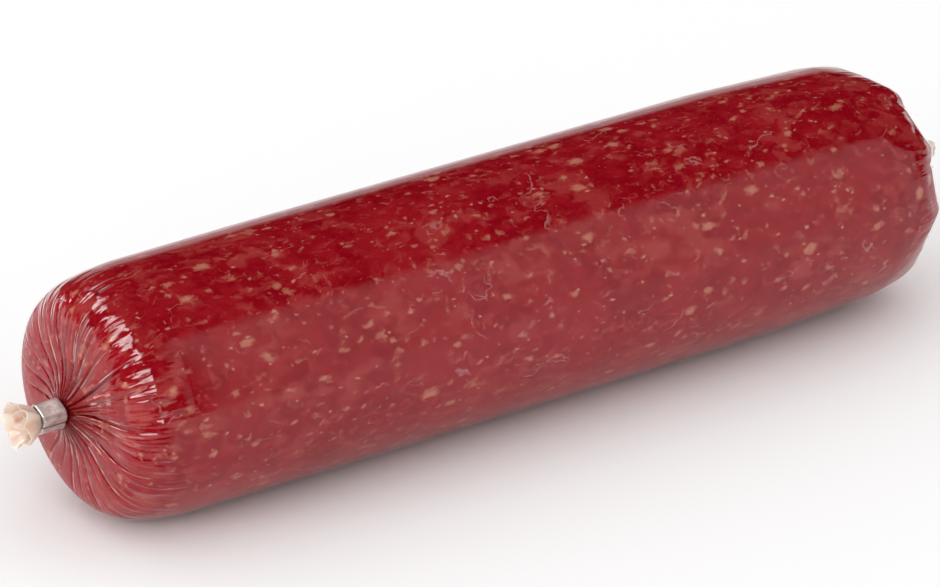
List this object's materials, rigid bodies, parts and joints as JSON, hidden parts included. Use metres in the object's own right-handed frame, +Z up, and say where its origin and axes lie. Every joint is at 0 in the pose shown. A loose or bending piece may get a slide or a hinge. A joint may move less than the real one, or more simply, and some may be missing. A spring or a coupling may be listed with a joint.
{
  "type": "sausage roll in clear film casing",
  "caption": "Fat cylindrical roll of minced red sausage meat packed in clear film, gathered into pleats and clipped shut with an aluminium band at each end.",
  "frame": {"origin": "under the middle of the whole length, on the surface that the roll lies on", "axes": "+X along the roll from the front clip to the rear clip, +Z up from the flattened underside"},
  "size_m": [0.3052, 0.072, 0.068],
  "materials": {
    "meat": "moist minced meat, deep red with cream fat flecks, seen through glossy film",
    "film": "clear glossy casing film, creamy where it is bunched",
    "clip_metal": "satin crimped band"
  },
  "bodies": {
    "root": {"meat_filling": "meat", "casing": "film", "front_clip": "clip_metal", "rear_clip": "clip_metal"}
  },
  "joints": []
}
